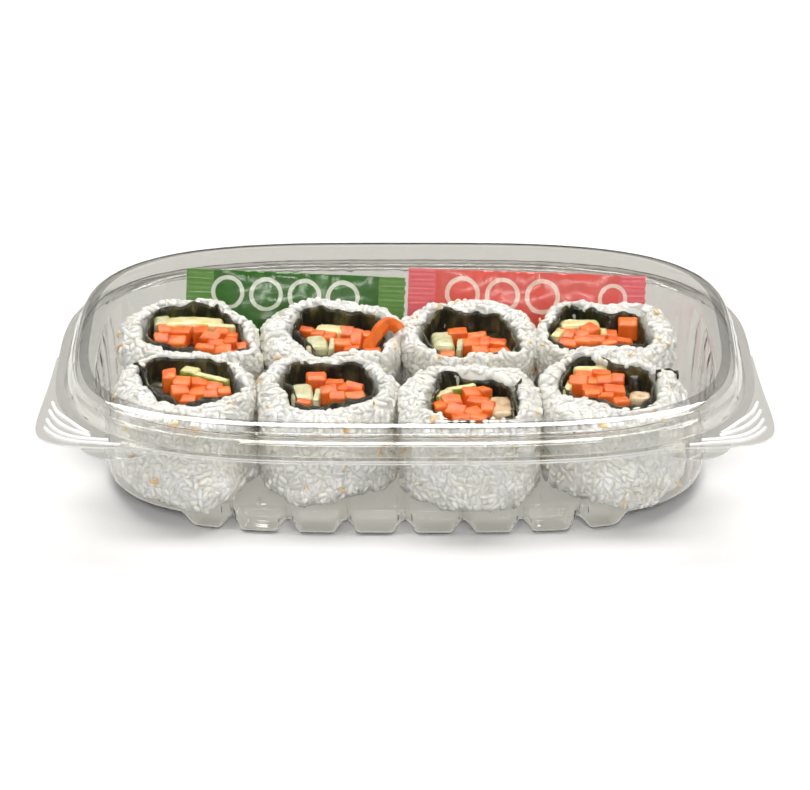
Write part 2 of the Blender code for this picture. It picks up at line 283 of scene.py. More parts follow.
def thicken(sheet, offset, rim_slot):
    """Give a pulled sheet its even thickness and smooth shading."""
    solid = sheet.modifiers.new("wall", "SOLIDIFY")
    solid.thickness = SHEET
    solid.offset = offset
    solid.use_even_offset = True
    solid.material_offset_rim = rim_slot
    work_on(sheet)
    bpy.ops.object.modifier_apply(modifier=solid.name)
    bpy.ops.object.shade_smooth_by_angle(angle=math.radians(50))




TINT = (0.978, 0.976, 0.962)


def new_material(name):
    """A material with its nodes, links and Principled shader at hand."""
    made = bpy.data.materials.new(name)
    made.use_nodes = True
    nodes, links = made.node_tree.nodes, made.node_tree.links
    return made, nodes, links, nodes["Principled BSDF"]


def wear(nodes, links, scale, detail, low, high):
    """Noise on Object coordinates, spread between two values."""
    place = nodes.new("ShaderNodeTexCoord")
    grain = nodes.new("ShaderNodeTexNoise")
    grain.inputs["Scale"].default_value = scale
    grain.inputs["Detail"].default_value = detail
    links.new(place.outputs["Object"], grain.inputs["Vector"])
    spread = nodes.new("ShaderNodeMapRange")
    spread.inputs["To Min"].default_value = low
    spread.inputs["To Max"].default_value = high
    links.new(grain.outputs["Fac"], spread.inputs["Value"])
    return grain, spread


def blend(nodes, links, share, plain, other):
    """Make a material's surface one shader, mixed with another by a share."""
    mix = nodes.new("ShaderNodeMixShader")
    links.new(share, mix.inputs["Fac"])
    links.new(plain, mix.inputs[1])
    links.new(other, mix.inputs[2])
    links.new(mix.outputs["Shader"], nodes["Material Output"].inputs["Surface"])


def clear_plastic(name, tint, shade):
    """Clear formed plastic. It bends what is seen through it and lets this share of lamplight through."""
    made, nodes, links, shader = new_material(name)
    shader.inputs["Base Color"].default_value = (*tint, 1)
    shader.inputs["IOR"].default_value = 1.42
    shader.inputs["Transmission Weight"].default_value = 1.0
    grain, spread = wear(nodes, links, 90, 2, 0.0, 0.05)
    links.new(spread.outputs["Result"], shader.inputs["Roughness"])
    ripple = nodes.new("ShaderNodeBump")
    ripple.inputs["Strength"].default_value = 0.06
    ripple.inputs["Distance"].default_value = 0.002
    links.new(grain.outputs["Fac"], ripple.inputs["Height"])
    links.new(ripple.outputs["Normal"], shader.inputs["Normal"])
    path = nodes.new("ShaderNodeLightPath")
    lamps = nodes.new("ShaderNodeMath")
    lamps.operation = "MAXIMUM"
    links.new(path.outputs["Is Shadow Ray"], lamps.inputs[0])
    links.new(path.outputs["Is Diffuse Ray"], lamps.inputs[1])
    through = nodes.new("ShaderNodeBsdfTransparent")
    through.inputs["Color"].default_value = (shade, shade, shade, 1)
    blend(nodes, links, lamps.outputs["Value"], shader.outputs["BSDF"], through.outputs["BSDF"])
    return made


cut_edge, nodes, links, shader = new_material("cut_plastic_edge")
shader.inputs["Base Color"].default_value = (0.72, 0.73, 0.71, 1)
shader.inputs["Transmission Weight"].default_value = 0.35
haze = wear(nodes, links, 300, 2, 0.2, 0.45)[1]
links.new(haze.outputs["Result"], shader.inputs["Roughness"])

tray.data.materials.append(clear_plastic("tray_plastic", TINT, 0.93))
tray.data.materials.append(clear_plastic("tray_floor_plastic", TINT, 0.0))
tray.data.materials.append(cut_edge)
thicken(tray, -1, 2)
UNDERSIDE_TOP = 6 * MM
for face in tray.data.polygons:
    if abs(face.normal.z) > 0.8 and face.center.z < UNDERSIDE_TOP:
        face.material_index = 1
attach(tray, "box")
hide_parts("tray")


# ---------------------------------------------------------------- the lid
# The lid is a second sheet of the same clear plastic, formed shallow with a beaded shoulder and a flange that
# lies on the tray's. It snaps over the rim and folds back on a straight hinge; two corners are grip tabs with ribs.

LID_FLANGE_UNDER = 29.95 * MM
LID_TAB = (104.4 * MM, 63.0 * MM, 12.0, 0.07)
LID_SECTION = rounded([(-14, 40.0, 0), (1.8, 40.0, 1.2), (3.0, 40.18, 1.2), (4.4, 40.1, 1.3), (6.3, 39.3, 1.0),
                       (6.9, 36.8, 1.6), (8.1, 34.4, 1.5), (9.2, 29.95, 0.8), (10.0, 29.95, 0)], steps=5)
FRONT_LEAN = 1.0
TOP_FALL = 1.4
# Rings of the shoulder bead that carry a painted shade band.
BEAD_RINGS = (8, 18)
LID_FLANGE_START = 10.0
LID_FLANGE_STEPS = 8
LID_DEPTH = 132
RIB_PATHS = [[(-103.7, -32.8), (-102.6, -37.6), (-100.7, -41.4), (-97.4, -45.6), (-94.6, -50.0), (-91.6, -53.6)],
             [(-104.1, -38.4), (-102.9, -42.8), (-99.6, -48.3), (-95.6, -52.4), (-91.0, -55.4)],
             [(-104.4, -44.4), (-103.4, -48.0), (-100.6, -52.6), (-96.6, -56.0), (-90.4, -57.6), (-85.6, -58.2)],
             [(-104.6, -50.0), (-102.4, -54.6), (-97.6, -58.4), (-92.0, -59.8), (-87.2, -60.4), (-82.0, -61.4)]]
RIB_RADIUS = 0.5 * MM


def lid_tab_reach(point, normal):
    half_x, half_y, power, widening = LID_TAB
    return reach_inside(point, normal, lambda x, y: level((half_x - widening * y, half_y, power), x, y) < 1)


columns = []
for point, normal in wall_outline(AROUND):
    scale = flange_reach(point, normal) / FLANGE_REACH
    column = []
    for q, z in LID_SECTION:
        if q > 0:
            lean = bump((q - 5.4) / 4.4) * smooth(-1.6 * normal.y)
            q, z = (q + FRONT_LEAN * lean) * scale, z - 0.8 * lean
        place = point + normal * (q * MM)
        z -= TOP_FALL * (0.5 - place.y / MM / LID_DEPTH) * smooth((z - 31) / 7)
        column.append(Vector((place.x, place.y, z * MM)))
    tip = flange_tip(point, normal, lid_tab_reach)
    start = LID_FLANGE_START * scale * MM
    for k in range(1, LID_FLANGE_STEPS + 1):
        place = point + normal * (start + (tip - start) * k / LID_FLANGE_STEPS)
        column.append(Vector((place.x, place.y, LID_FLANGE_UNDER)))
    columns.append(column)
lid = pull_sheet("clear_lid", [list(ring) for ring in zip(*columns)], up=True)
lid.data.materials.append(clear_plastic("lid_plastic", TINT, 0.96))
lid.data.materials.append(cut_edge)
# The bead's rings get plastic tinted to 0.62 of the clear tint: painted shade, a dark grey band along the shoulder.
lid.data.materials.append(clear_plastic("lid_bead_plastic", tuple(0.62 * c for c in TINT), 0.96))
pulled = [item.value for item in lid.data.attributes["pull"].data]
for face in lid.data.polygons:
    if all(BEAD_RINGS[0] <= pulled[k] <= BEAD_RINGS[1] for k in face.vertices):
        face.material_index = 2
thicken(lid, 1, 1)


def rod(path, radius, fineness, steps):
    """A round bar bent along a smooth path in millimetres, turned into a mesh."""
    line = bpy.data.curves.new("rod", "CURVE")
    line.dimensions = "3D"
    line.bevel_depth = radius
    line.bevel_resolution = fineness
    line.resolution_u = steps
    line.use_fill_caps = True
    run = line.splines.new("NURBS")
    run.points.add(len(path) - 1)
    run.use_endpoint_u = True
    run.order_u = 3
    for knot, (x, y, z) in zip(run.points, path):
        knot.co = (x * MM, y * MM, z * MM, 1)
    bar = bpy.data.objects.new("rod", line)
    bpy.context.scene.collection.objects.link(bar)
    work_on(bar)
    bpy.ops.object.convert(target="MESH")
    return bar


def join(pieces, name):
    """Join pieces into the first of them, and name it."""
    work_on(pieces[0])
    for one in pieces[1:]:
        one.select_set(True)
    bpy.ops.object.join()
    pieces[0].name = name
    return pieces[0]


rib_height = (LID_FLANGE_UNDER + SHEET) / MM + 0.1
ribs = [rod([(side * x, y, rib_height) for x, y in path], RIB_RADIUS, 2, 6)
        for side in (1, -1) for path in RIB_PATHS]
lid = join([lid] + ribs, "clear_lid")
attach(lid, "lid")
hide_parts("lid")


# ---------------------------------------------------------------- the rice
# Each roll is a ring of pressed sushi rice, rolled rice side out and cut to length with a wet knife. A bumpy
# core takes the ring's shape and cooked grains lie all over its outside and its cut top.

PLACES = [row + "_" + str(k) for row in ("back", "front") for k in (1, 2, 3, 4)]
GRAIN_SIZE = Vector((4.5, 2.4, 2.1)) * MM
GRAIN_SPACING = 1.5 * MM
OPENINGS = {
    "back_1": [(-15.4, -2.2), (-14.1, 8.2), (-11.7, 11.9), (-2.6, 15.4), (4.1, 14.9), (8.4, 5.8), (11.8, 2.2),
               (13.0, -4.5), (15.4, -11.9), (12.7, -14.4), (8.4, -15.2), (2.0, -12.7), (-5.6, -10.4), (-13.2, -7.5)],
    "back_2": [(-12.8, 0), (-11.3, 5.2), (-9.5, 13.2), (-5.5, 15.2), (0.3, 11.6), (6.4, 11.2), (10.7, 9.7),
               (13.5, 3.0), (14.2, -8.5), (12.0, -15.5), (9.0, -12.7), (4.0, -11.9), (-1.2, -15.2), (-5.8, -14.2),
               (-8.8, -6.7)],
    "back_3": [(-14.5, -1.6), (-12.7, 3.7), (-11.2, 11.1), (-7.5, 14.1), (-2.6, 11.5), (3.5, 11.1), (8.4, 8.9),
               (11.4, 0.7), (13.5, -7.5), (9.9, -12.8), (4.4, -14.3), (-0.2, -13.9), (-2.9, -16.6), (-9.0, -15.0),
               (-11.2, -8.3)],
    "back_4": [(-14.9, -2.6), (-12.2, 5.6), (-9.1, 14.0), (-6.4, 14.6), (-1.8, 11.6), (4.3, 7.8), (11.6, 8.6),
               (13.1, -0.4), (14.6, -5.6), (11.6, -10.8), (2.7, -10.1), (-3.4, -10.1), (-8.5, -12.3), (-13.1, -8.6)],
    "front_1": [(-13.0, 3.5), (-12.0, 10.5), (-9.0, 15.0), (-3.0, 14.5), (4.5, 14.0), (11.0, 12.0), (12.5, 4.0),
                (14.5, -3.0), (12.5, -6.5), (7.0, -7.5), (3.5, -10.0), (-0.5, -11.5), (-4.0, -7.5), (-8.0, -6.0)],
    "front_2": [(-13.5, 2.5), (-12.0, 7.5), (-10.5, 13.5), (-7.5, 14.5), (-3.0, 12.5), (3.0, 12.0), (7.5, 13.0),
                (10.5, 9.5), (12.0, 2.5), (13.5, -4.0), (11.0, -6.5), (7.0, -8.5), (2.0, -9.5), (-2.0, -12.0),
                (-8.5, -10.5), (-10.5, -3.0)],
    "front_3": [(-12.0, -4.5), (-10.5, 1.0), (-9.5, 6.5), (-9.0, 13.8), (-5.0, 13.2), (-1.5, 9.5), (2.5, 8.5),
                (7.0, 8.0), (10.5, 2.5), (12.0, -6.5), (10.5, -12.5), (2.0, -14.5), (-5.5, -14.5), (-8.5, -12.0),
                (-11.5, -7.5)],
    "front_4": [(-14.5, -0.5), (-13.0, 5.5), (-10.5, 13.0), (-7.0, 15.0), (-3.0, 14.6), (-0.5, 11.0), (3.0, 8.5),
                (6.5, 8.0), (11.0, 3.5), (12.0, -6.0), (8.0, -11.5), (2.5, -13.5), (-2.5, -10.5), (-6.5, -7.5),
                (-11.0, -6.5), (-14.0, -3.5)]}


def copy_of_node(node, name):
    """A merged copy of a CAD solid, as the start of a finer piece."""
    piece = bpy.data.objects.new(name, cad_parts[node].data.copy())
    bpy.context.scene.collection.objects.link(piece)
    piece.data.materials.clear()
    work_on(piece)
    bpy.ops.object.mode_set(mode="EDIT")
    bpy.ops.mesh.select_all(action="SELECT")
    bpy.ops.mesh.remove_doubles(threshold=0.02 * MM)
    bpy.ops.mesh.tris_convert_to_quads()
    bpy.ops.object.mode_set(mode="OBJECT")
    return piece


def apply_modifier(piece, kind, **settings):
    modifier = piece.modifiers.new(kind.lower(), kind)
    for key, value in settings.items():
        setattr(modifier, key, value)
    bpy.context.view_layer.objects.active = piece
    bpy.ops.object.modifier_apply(modifier=modifier.name)


def lumps(name, size):
    texture = bpy.data.textures.new(name, "CLOUDS")
    texture.noise_scale = size
    texture.noise_depth = 2
    return texture


def drop_faces(piece, unwanted):
    """Delete the faces that unwanted(face) picks."""
    work_on(piece)
    bpy.ops.object.mode_set(mode="EDIT")
    bpy.ops.mesh.select_mode(type="FACE")
    bpy.ops.mesh.select_all(action="DESELECT")
    mesh = bmesh.from_edit_mesh(piece.data)
    for face in mesh.faces:
        face.select_set(unwanted(face))
    bmesh.update_edit_mesh(piece.data)
    bpy.ops.mesh.delete(type="FACE")
    bpy.ops.object.mode_set(mode="OBJECT")


def scatter_group(name, thing, spacing, seed, low, high, tilt):
    """Nodes that lay real copies of thing over a surface, at least spacing apart, each turned its own way."""
    group = bpy.data.node_groups.new(name, "GeometryNodeTree")
    group.interface.new_socket("Geometry", in_out="INPUT", socket_type="NodeSocketGeometry")
    group.interface.new_socket("Geometry", in_out="OUTPUT", socket_type="NodeSocketGeometry")
    nodes, links = group.nodes, group.links
    start, end = nodes.new("NodeGroupInput"), nodes.new("NodeGroupOutput")
    spread = nodes.new("GeometryNodeDistributePointsOnFaces")
    spread.distribute_method = "POISSON"
    spread.inputs["Distance Min"].default_value = spacing
    spread.inputs["Density Max"].default_value = 4.0 / spacing ** 2
    spread.inputs["Seed"].default_value = seed
    links.new(start.outputs[0], spread.inputs["Mesh"])
    turn = nodes.new("FunctionNodeRandomValue")
    turn.data_type = "FLOAT_VECTOR"
    turn.inputs[0].default_value = (-tilt, -tilt, 0.0)
    turn.inputs[1].default_value = (tilt, tilt, 2 * math.pi)
    turn.inputs["Seed"].default_value = seed + 1
    angles = nodes.new("FunctionNodeEulerToRotation")
    links.new(turn.outputs[0], angles.inputs[0])
    rotate = nodes.new("FunctionNodeRotateRotation")
    rotate.rotation_space = "LOCAL"
    links.new(spread.outputs["Rotation"], rotate.inputs[0])
    links.new(angles.outputs[0], rotate.inputs[1])
    size = nodes.new("FunctionNodeRandomValue")
    size.data_type = "FLOAT_VECTOR"
    size.inputs[0].default_value = low
    size.inputs[1].default_value = high
    size.inputs["Seed"].default_value = seed + 2
    info = nodes.new("GeometryNodeObjectInfo")
    info.inputs["Object"].default_value = thing
    put = nodes.new("GeometryNodeInstanceOnPoints")
    links.new(spread.outputs["Points"], put.inputs["Points"])
    links.new(info.outputs["Geometry"], put.inputs["Instance"])
    links.new(rotate.outputs[0], put.inputs["Rotation"])
    links.new(size.outputs[0], put.inputs["Scale"])
    real = nodes.new("GeometryNodeRealizeInstances")
    links.new(put.outputs["Instances"], real.inputs["Geometry"])
    links.new(real.outputs["Geometry"], end.inputs[0])
    return group


def loop_through(knots, count):
    """Evenly shared points of a smooth closed line through a few knots."""
    out = []
    for k in range(count):
        t = k / count * len(knots)
        i = int(t)
        t -= i
        a, b, c, d = (Vector(knots[(i + j) % len(knots)]) for j in (-1, 0, 1, 2))
        out.append(0.5 * (2 * b + (c - a) * t + (2 * a - 5 * b + 4 * c - d) * t ** 2
                          + (3 * b - a - 3 * c + d) * t ** 3))
    return out


def roll_middle(place):
    low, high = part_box("nori_" + place)
    return (low + high) / (2 * MM)


ROLL_POWER = 2.3
SECTOR = 5
TOP_SPREAD = 2.6
FOOT_SPREAD = {"front_1": 2.6, "front_2": 1.2, "front_3": 1.8, "front_4": 2.2}
SLUMPS = {"front_1": (-59.0, 9.0), "front_2": (-27.0, 5.0), "front_3": (22.0, 7.0), "front_4": (66.0, 4.5)}


def opened(place, margin):
    """A function that moves a point of the plain ring of rice to suit the roll's own uneven opening."""
    low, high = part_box("nori_" + place)
    middle, half = roll_middle(place), (high - low) / (2 * MM)
    reach = [0.0] * (360 // SECTOR)
    for point in loop_through(OPENINGS[place], 720):
        reach[int(math.degrees(math.atan2(point.y, point.x)) // SECTOR) % len(reach)] = point.length + margin

    def edge(off):
        """How far the opening's edge lies from the middle, this way."""
        turn = math.degrees(math.atan2(off.y, off.x)) / SECTOR - 0.5
        before = math.floor(turn)
        near, far = reach[before % len(reach)], reach[(before + 1) % len(reach)]
        return near + (far - near) * (turn - before)

    def move(x, y, z):
        off = Vector((x - middle.x, y - middle.y))
        wanted = edge(off)
        ray = off.normalized()
        plain = 1 / level((half.x, half.y, ROLL_POWER), ray.x, ray.y) ** (1 / ROLL_POWER)
        out = smooth((off.length - plain) / 7.5)
        spread = out * (TOP_SPREAD * smooth((z - 20) / 9) + FOOT_SPREAD.get(place, 0.0) * smooth((20 - z) / 14))
        push = SLUMPS[place] if place in SLUMPS else (0, 0)
        slump = push[1] * out * smooth((24 - z) / 16) * bump((x - push[0]) / 13) * smooth(-off.y / 8)
        place_now = middle.xy + ray * (off.length + (wanted - plain) * (1 - out) + spread)
        return Vector((place_now.x, place_now.y - slump, z - lip_drop(off.y) * smooth((z - 22) / 8)))

    def settle(x, y, z):
        """Keep the lumpy rice behind the nori and inside the tray's wall."""
        off = Vector((x - middle.x, y - middle.y))
        if off.length < edge(off):
            x, y = middle.xy + off * (edge(off) / off.length)
        inset = 2.9 - 3.2 * z / 32
        notch = nearest(x, NOTCH_PITCH / MM, 3) / (2.9 + 1.9 * (1 - smooth(z / 7)))
        notch = bump(notch) * (1.2 + 3.6 * (1 - smooth(z / 13))) if abs(x) < 66 else 0.0
        half_x, half_y, power = WALL_PLAN
        past = level((half_x / MM - inset, half_y / MM - inset - notch, power), x, y) ** (1 / power)
        if past > 1:
            x, y = x / past, y / past
        return Vector((x, y, z))

    return move, settle


def lip_drop(along):
    """How much lower a roll's cut top lies towards the front of the box."""
    return 2.3 * smooth((3 - along) / 13)


def moist(shader, sink, colours, depth, wet, blur):
    """Let light sink into a food a little, and lay a film of water on it."""
    for socket, value in (("Subsurface Weight", sink), ("Subsurface Radius", colours), ("Subsurface Scale", depth),
                          ("Coat Weight", wet), ("Coat Roughness", blur)):
        shader.inputs[socket].default_value = value


def food_relief(nodes, links, shader, height, strength, distance):
    relief = nodes.new("ShaderNodeBump")
    relief.inputs["Strength"].default_value = strength
    relief.inputs["Distance"].default_value = distance
    links.new(height, relief.inputs["Height"])
    links.new(relief.outputs["Normal"], shader.inputs["Normal"])


def mottle(nodes, links, scale, stops, detail=2.0, stretch=(1, 1, 1)):
    """Colours spread by noise on Object coordinates; stops are (place, colour)."""
    place = nodes.new("ShaderNodeTexCoord")
    along = nodes.new("ShaderNodeMapping")
    along.inputs["Scale"].default_value = stretch
    links.new(place.outputs["Object"], along.inputs["Vector"])
    patch = nodes.new("ShaderNodeTexNoise")
    patch.inputs["Scale"].default_value = scale
    patch.inputs["Detail"].default_value = detail
    links.new(along.outputs["Vector"], patch.inputs["Vector"])
    ramp = nodes.new("ShaderNodeValToRGB")
    while len(ramp.color_ramp.elements) < len(stops):
        ramp.color_ramp.elements.new(0.5)
    for element, (at, colour) in zip(ramp.color_ramp.elements, stops):
        element.position = at
        element.color = (*colour, 1)
    links.new(patch.outputs["Fac"], ramp.inputs["Fac"])
    return patch, ramp


def rice_material():
    made, nodes, links, shader = new_material("cooked_rice")
    grain, spread = wear(nodes, links, 420, 3, 0.25, 0.5)
    links.new(spread.outputs["Result"], shader.inputs["Roughness"])
    patch, ramp = mottle(nodes, links, 150, [(0.30, (0.82, 0.775, 0.655)), (0.5, (0.92, 0.895, 0.80)),
                                             (0.66, (0.96, 0.94, 0.875))], detail=4)
    links.new(ramp.outputs["Color"], shader.inputs["Base Color"])
    moist(shader, 0.55, (1.0, 0.9, 0.7), 0.0022, 0.2, 0.12)
    food_relief(nodes, links, shader, grain.outputs["Fac"], 0.25, 0.0004)
    return made


cooked_rice = rice_material()
deselect()
bpy.ops.mesh.primitive_uv_sphere_add(segments=8, ring_count=6, radius=0.5, rotation=(0, math.pi / 2, 0))
grain = bpy.context.object
bpy.ops.object.transform_apply()
for vert in grain.data.vertices:
    along = 2 * vert.co.x
    vert.co = Vector((vert.co.x * GRAIN_SIZE.x, vert.co.y * GRAIN_SIZE.y + 0.35 * MM * along ** 2,
                      vert.co.z * GRAIN_SIZE.z - 0.62 * MM))
bpy.ops.object.shade_smooth()
grain.data.materials.append(cooked_rice)


def twin(piece):
    """A copy of a piece with a mesh of its own."""
    made = piece.copy()
    made.data = piece.data.copy()
    bpy.context.scene.collection.objects.link(made)
    return made


LUMP_TEXTURE = lumps("rice_lumps", 8 * MM)
rice_pieces = {}
for number, place in enumerate(PLACES):
    core = copy_of_node("rice_" + place, "rice_" + place + "_grains")
    middle = roll_middle(place) * MM
    apply_modifier(core, "SUBSURF", levels=2, render_levels=2)
    opening, settle = opened(place, 0.9)
    for vert in core.data.vertices:
        vert.co = opening(*(vert.co / MM)) * MM
    apply_modifier(core, "DISPLACE", strength=4.0 * MM, mid_level=0.42, texture=LUMP_TEXTURE,
                   texture_coords="LOCAL")
    for vert in core.data.vertices:
        vert.co = settle(*(vert.co / MM)) * MM
    bpy.ops.object.shade_smooth()
    skin = twin(core)

    def hidden(face):
        away = face.calc_center_median() - middle
        inner = away.x * face.normal.x + away.y * face.normal.y < 0 and face.normal.z < 0.85
        return face.normal.z < -0.55 or inner

    drop_faces(skin, hidden)
    cover = skin.modifiers.new("grains", "NODES")
    cover.node_group = scatter_group("grains_" + place, grain, GRAIN_SPACING, 11 + 7 * number,
                                     (0.8, 0.85, 0.8), (1.1, 1.1, 1.15), 0.4)
    bpy.context.view_layer.objects.active = skin
    bpy.ops.object.modifier_apply(modifier=cover.name)
    core.data.materials.append(cooked_rice)
    join([core, skin], core.name)
    rice_pieces[place] = core
    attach(core, "box")
    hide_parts("rice_" + place)
bpy.data.objects.remove(grain, do_unlink=True)


# ---------------------------------------------------------------- the nori
# Inside the rice lies a sheet of toasted seaweed, rolled with it and cut with it. It is dark, glossy and
# crinkled. A flat dark nori sheet closes each ring below the fillings' tops as painted shade for the deep gaps
# between the fillings, and on three rolls the nori's end runs out through the rice.

NORI_SHEET = 0.45 * MM
NORI_SIDES = 150
NORI_RINGS = 24
NORI_FOOT, NORI_TOP = 5.0, 34.1
BED_HEIGHT = 27.5
TAIL_FOOT, TAIL_TOP = 24.0, 35.0


def crinkle(x, y, z, size, seed):
    """A small sideways push, even along nearby points, for one roll's sheet."""
    at = Vector((x / size + seed, y / size, z / (2.5 * size)))
    return Vector((noise.noise(at), noise.noise(at + Vector((0, 31, 7))), 0))


def nori_material():
    made, nodes, links, shader = new_material("toasted_nori")
    grain, spread = wear(nodes, links, 700, 4, 0.16, 0.5)
    links.new(spread.outputs["Result"], shader.inputs["Roughness"])
    patch, ramp = mottle(nodes, links, 260, [(0.34, (0.010, 0.010, 0.006)), (0.52, (0.030, 0.027, 0.012)),
                                             (0.70, (0.13, 0.105, 0.040))], detail=6, stretch=(1, 1, 0.5))
    links.new(ramp.outputs["Color"], shader.inputs["Base Color"])
    food_relief(nodes, links, shader, patch.outputs["Fac"], 1.0, 0.0012)
    return made


toasted_nori = nori_material()


def sheet_strip(name, path, low, high, rings, closed, seed, slope_from):
    """A strip of nori that stands on a path, pulled up ring by ring, crinkled and given its thickness."""
    deselect()
    bpy.ops.mesh.primitive_circle_add(vertices=len(path) + (not closed), radius=5 * MM, fill_type="NOTHING")
    strip = bpy.context.object
    strip.name = name
    bpy.ops.object.mode_set(mode="EDIT")
    bpy.ops.mesh.select_mode(type="VERT")
    mesh = bmesh.from_edit_mesh(strip.data)
    if not closed:
        mesh.verts.ensure_lookup_table()
        bmesh.ops.delete(mesh, geom=[mesh.verts[len(path)]], context="VERTS")
    mesh.verts.layers.int.new("order")
    order = mesh.verts.layers.int["order"]
    mesh.verts.ensure_lookup_table()
    for k, vert in enumerate(mesh.verts):
        vert[order] = k
    bpy.ops.mesh.select_all(action="SELECT")
    for ring in range(rings + 1):
        if ring:
            bpy.ops.mesh.extrude_region_move()
        mesh = bmesh.from_edit_mesh(strip.data)
        order = mesh.verts.layers.int["order"]
        share = ring / rings
        for vert in mesh.verts:
            if vert.select:
                x, y = path[vert[order]]
                z = low + (high - 1.15 * lip_drop(y - slope_from) - low) * share
                push = crinkle(x, y, z, 1.7, seed) * 0.7 + crinkle(x, y, z, 4.0, seed + 5) * 0.9
                lift = 1.5 * noise.noise(Vector((x / 4 + seed, y / 4, 3.3))) * smooth(3 * share - 2)
                vert.co = Vector((x + push.x, y + push.y, z + lift)) * MM
    bmesh.update_edit_mesh(strip.data)
    bpy.ops.object.mode_set(mode="OBJECT")
    apply_modifier(strip, "SOLIDIFY", thickness=NORI_SHEET, offset=0)
    bpy.ops.object.shade_smooth()
    return strip


NORI_TAILS = {"front_1": [(-76.9, -22.6), (-78.0, -19.0), (-79.6, -16.4), (-81.2, -16.0)],
              "front_3": [(34.0, -27.0), (32.8, -31.0), (32.2, -36.0), (33.2, -41.0)],
              "front_4": [(74.6, -21.4), (77.2, -18.2), (79.8, -19.0), (80.6, -23.4)]}


def drawn_through(knots, count):
    """Points of a smooth line through a few knots."""
    out = []
    for k in range(count + 1):
        t = k / count * (len(knots) - 1)
        i = min(int(t), len(knots) - 2)
        t -= i
        a, b, c, d = (Vector(knots[min(len(knots) - 1, max(0, i + j))]) for j in (-1, 0, 1, 2))
        out.append(tuple(0.5 * (2 * b + (c - a) * t + (2 * a - 5 * b + 4 * c - d) * t ** 2
                                + (3 * b - a - 3 * c + d) * t ** 3)))
    return out


for number, place in enumerate(PLACES):
    middle = roll_middle(place).xy
    path = [middle + point for point in loop_through(OPENINGS[place], NORI_SIDES)]
    name = "nori_" + place + "_sheet"
    sheet = sheet_strip(name, path, NORI_FOOT, NORI_TOP, NORI_RINGS, True, 3.7 * number, middle.y)
    # A flat dark sheet of nori across the ring below the fillings: painted shade for the gaps between them.
    deselect()
    bpy.ops.mesh.primitive_circle_add(vertices=NORI_SIDES, radius=5 * MM, fill_type="NGON")
    bed = bpy.context.object
    for vert, (x, y) in zip(bed.data.vertices, path):
        vert.co = Vector((x, y, BED_HEIGHT)) * MM
    apply_modifier(bed, "SOLIDIFY", thickness=NORI_SHEET)
    join([sheet, bed], name)
    if place in NORI_TAILS:
        tail_path = drawn_through(NORI_TAILS[place], 18)
        tail = sheet_strip("tail", tail_path, TAIL_FOOT, TAIL_TOP, 5, False, 3.7 * number, middle.y)
        join([sheet, tail], name)
    sheet.data.materials.append(toasted_nori)
    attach(sheet, "box")
    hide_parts("nori_" + place)

fold = copy_of_node("nori_fold_front_4", "nori_fold_front_4_sheet")
apply_modifier(fold, "SUBSURF", levels=2, render_levels=2)
apply_modifier(fold, "DISPLACE", strength=1.6 * MM, mid_level=0.7, texture=lumps("fold_lumps", 2.5 * MM),
               texture_coords="LOCAL")
bpy.ops.object.shade_smooth()
fold.data.materials.append(toasted_nori)
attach(fold, "box")
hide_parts("nori_fold_front_4")


# ---------------------------------------------------------------- the carrots
# Raw carrot cut into square sticks runs the length of each roll. Each stick has its own turn and lean and
# stands a little above or below its neighbours, with a fresh cut top.

STICK_LENGTH = 27.0 * MM
STICK_WIDTH = 4
STICK_TOP = 32.4
CURL_RADIUS = 2.1 * MM
CURL = [(9.0, -9.0, 28.0), (11.0, -7.6, 32.8), (14.0, -4.0, 36.4), (17.4, -1.6, 36.2), (19.0, -2.6, 34.0)]
